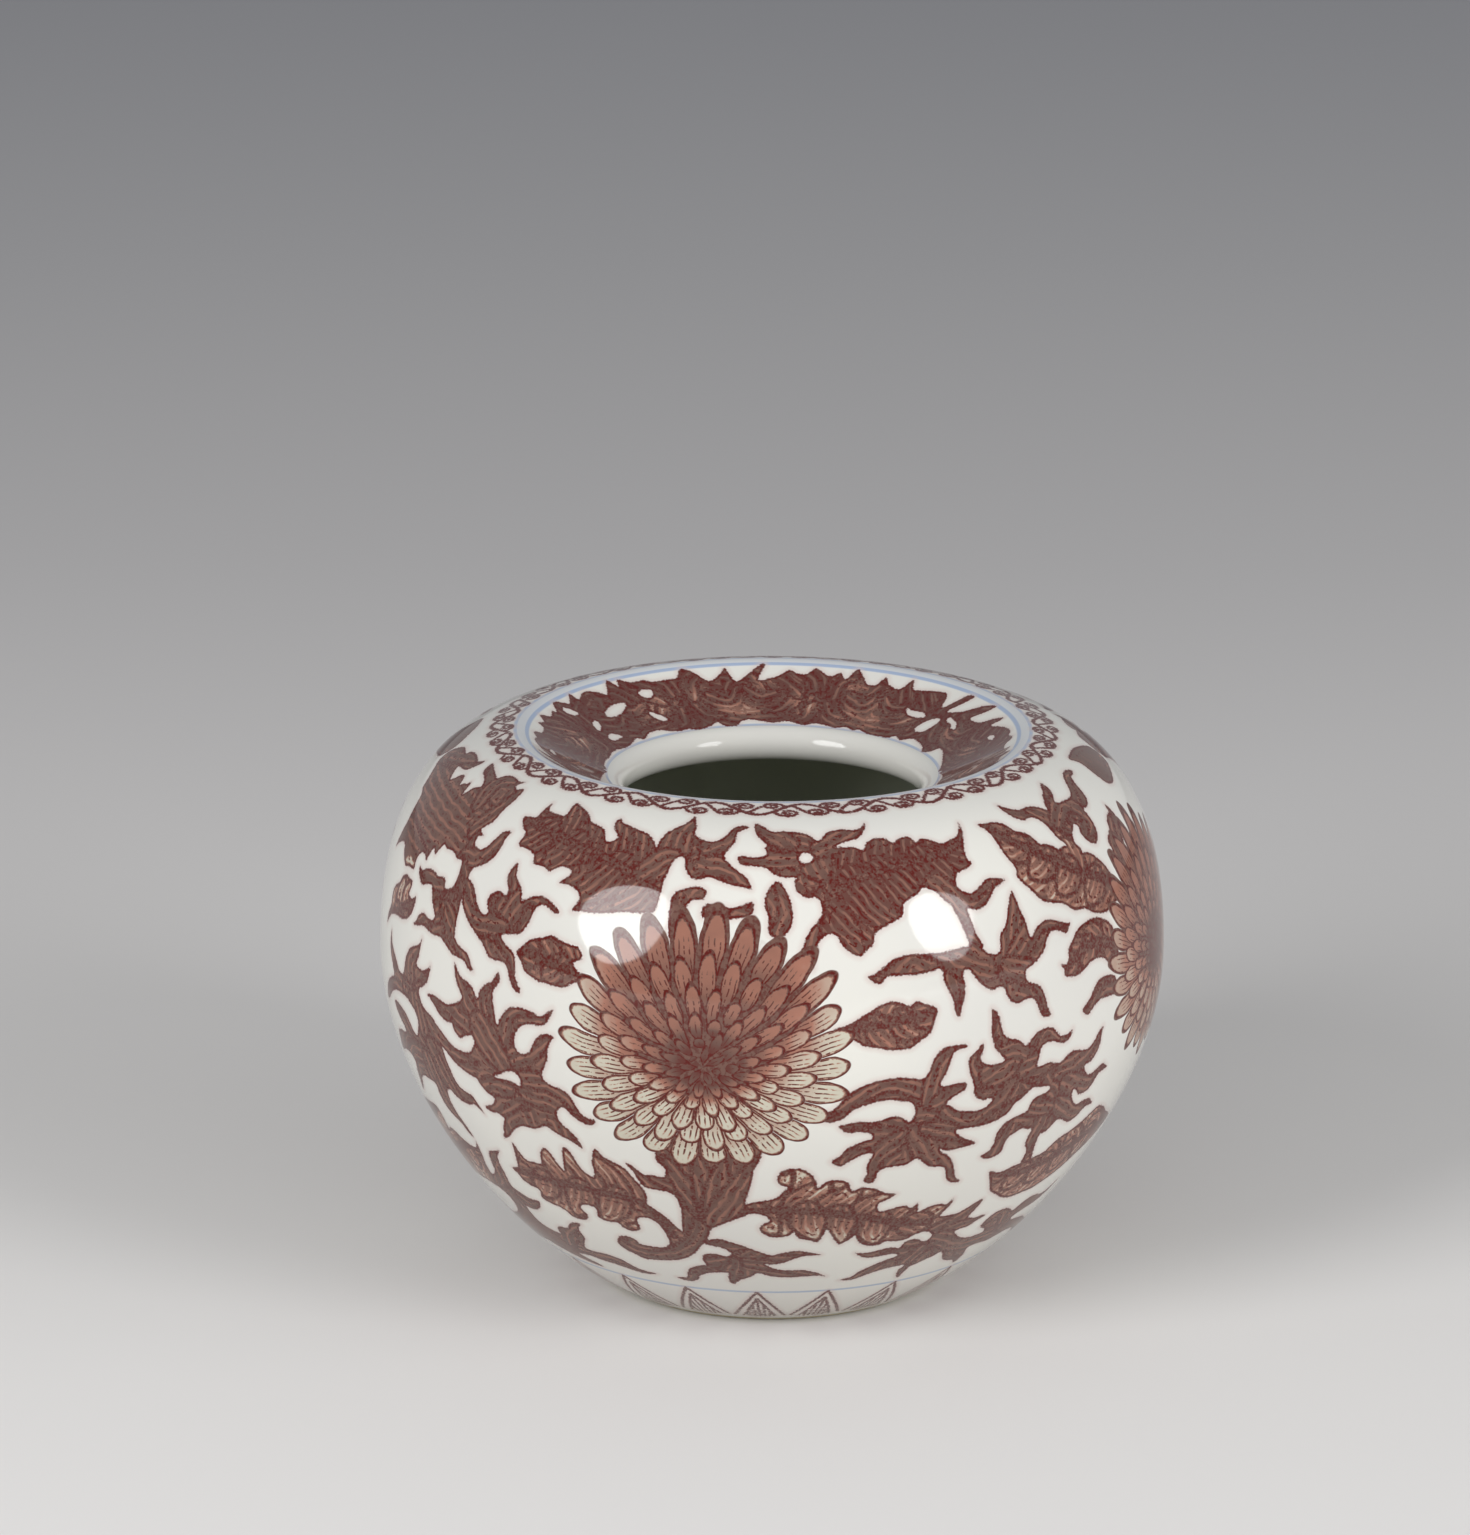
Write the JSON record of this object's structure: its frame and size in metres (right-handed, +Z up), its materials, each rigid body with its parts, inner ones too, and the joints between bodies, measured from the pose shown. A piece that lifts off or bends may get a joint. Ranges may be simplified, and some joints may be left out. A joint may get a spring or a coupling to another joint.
{
  "type": "apple-shaped jar",
  "caption": "Squat round porcelain jar for water or small things, with a dished top like an apple's, a small rolled mouth and a turned foot, painted with flower scrolls.",
  "frame": {"origin": "centre of the circle that the foot stands on, at table height", "axes": "+Z up along the jar's axis; -Y is the side seen in the picture, with a whole flower facing it"},
  "size_m": [0.103, 0.103, 0.074],
  "materials": {
    "glazed_porcelain": "clear glossy glaze over white porcelain, faintly bluish",
    "bare_porcelain": "unglazed, finely ground, slightly buff",
    "copper_red": "underglaze copper red under clear glossy glaze: dark outlines over a mauve brown wash",
    "cobalt_blue": "thin pale underglaze blue line under clear glossy glaze"
  },
  "bodies": {
    "root": {"foot_ring": "bare_porcelain", "lower_body": "glazed_porcelain", "upper_body": "glazed_porcelain", "mouth_ring": "glazed_porcelain"}
  },
  "joints": []
}
